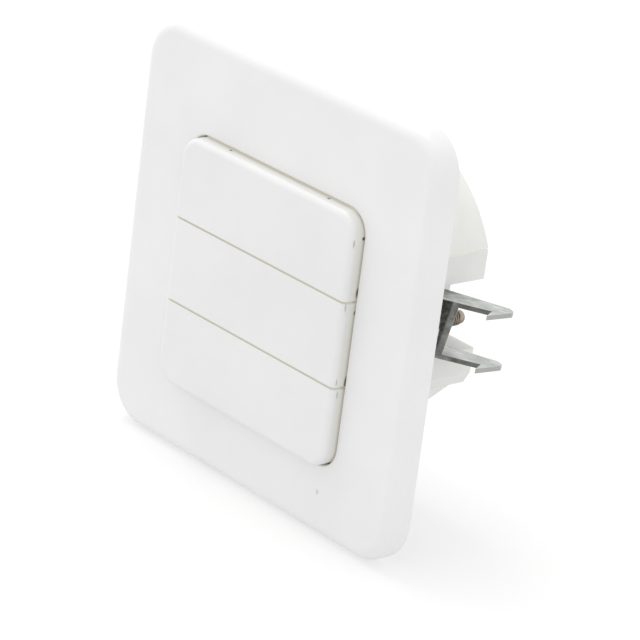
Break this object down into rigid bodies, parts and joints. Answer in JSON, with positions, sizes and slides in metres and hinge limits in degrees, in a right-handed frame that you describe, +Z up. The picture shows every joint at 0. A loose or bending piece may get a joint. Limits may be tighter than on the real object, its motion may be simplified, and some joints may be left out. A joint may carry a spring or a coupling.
{
  "type": "wireless wall switch",
  "caption": "White flush-mounted wireless wall switch: square frame, three wide rocker keys, rear housing with spreading claws.",
  "frame": {"origin": "centre of the cover frame on the wall plane, where the mounting ring's rear face rests", "axes": "+X to the right seen from the room, +Y from the room into the wall, +Z up"},
  "size_m": [0.08, 0.0322, 0.08],
  "materials": {
    "frame_white": "satin",
    "key_white": "satin",
    "carrier_white": "matte",
    "zinc_plated_sheet": "satin",
    "insulator_grey": "matte",
    "housing_white": "satin",
    "zinc_plated_screw": "satin",
    "claw_steel": "brushed",
    "claw_screw_steel": "satin",
    "circuit_board": "satin",
    "tinned_can": "satin",
    "antenna_wire": "satin",
    "header_black": "matte",
    "relay_case": "matte",
    "capacitor_case": "satin",
    "terminal_grey": "matte",
    "terminal_metal": "satin",
    "switch_black": "matte"
  },
  "bodies": {
    "housing": {"cover_frame": "frame_white", "mounting_ring": "zinc_plated_sheet", "housing_base": "housing_white", "key_carrier": "carrier_white", "housing_cover": "insulator_grey", "housing_screws": "zinc_plated_screw", "control_board": "circuit_board", "switch_top_left": "switch_black", "switch_top_right": "switch_black", "switch_middle_left": "switch_black", "switch_middle_right": "switch_black", "switch_bottom_left": "switch_black", "switch_bottom_right": "switch_black", "radio_module": "tinned_can", "antenna": "antenna_wire", "pin_header": "header_black", "power_board": "circuit_board", "relay_1": "relay_case", "relay_2": "relay_case", "relay_3": "relay_case", "supply_capacitor": "capacitor_case", "terminal_block": "terminal_grey", "terminal_screws": "terminal_metal"},
    "key_top": {"key_top": "key_white"},
    "key_middle": {"key_middle": "key_white"},
    "key_bottom": {"key_bottom": "key_white"},
    "claw_screw_right": {"claw_screw_right": "claw_screw_steel"},
    "claw_right": {"claw_right": "claw_steel"},
    "claw_screw_left": {"claw_screw_left": "claw_screw_steel"},
    "claw_left": {"claw_left": "claw_steel"}
  },
  "joints": [
    {"name": "key_top_rock", "type": "hinge", "parent": "housing", "child": "key_top", "pos_m": [0, -0.0039, 0.01352], "axis": [0, 0, 1], "range_deg": [-2, 2], "stiffness_Nm_per_rad": 0.8},
    {"name": "key_middle_rock", "type": "hinge", "parent": "housing", "child": "key_middle", "pos_m": [0, -0.0039, -0.0025], "axis": [0, 0, 1], "range_deg": [-2, 2], "stiffness_Nm_per_rad": 0.8},
    {"name": "key_bottom_rock", "type": "hinge", "parent": "housing", "child": "key_bottom", "pos_m": [0, -0.0039, -0.01852], "axis": [0, 0, 1], "range_deg": [-2, 2], "stiffness_Nm_per_rad": 0.8},
    {"name": "claw_screw_right_turn", "type": "hinge", "parent": "housing", "child": "claw_screw_right", "pos_m": [0.0248, 0, -0.0006], "axis": [0, 1, 0], "range_deg": [-490, 1330]},
    {"name": "claw_right_swing", "type": "hinge", "parent": "housing", "child": "claw_right", "pos_m": [0.0248, 0.01138, -0.0006], "axis": [0.0802, 0, 0.9968], "range_deg": [-27, 10]},
    {"name": "claw_screw_left_turn", "type": "hinge", "parent": "housing", "child": "claw_screw_left", "pos_m": [-0.0248, 0, -0.0006], "axis": [0, 1, 0], "range_deg": [-490, 1330]},
    {"name": "claw_left_swing", "type": "hinge", "parent": "housing", "child": "claw_left", "pos_m": [-0.0248, 0.01138, -0.0006], "axis": [-0.0802, 0, 0.9968], "range_deg": [-10, 27]}
  ],
  "couplings": [
    {"joint": "claw_right_swing", "follows": "claw_screw_right_turn", "ratio": -0.01875},
    {"joint": "claw_left_swing", "follows": "claw_screw_left_turn", "ratio": 0.01875}
  ]
}
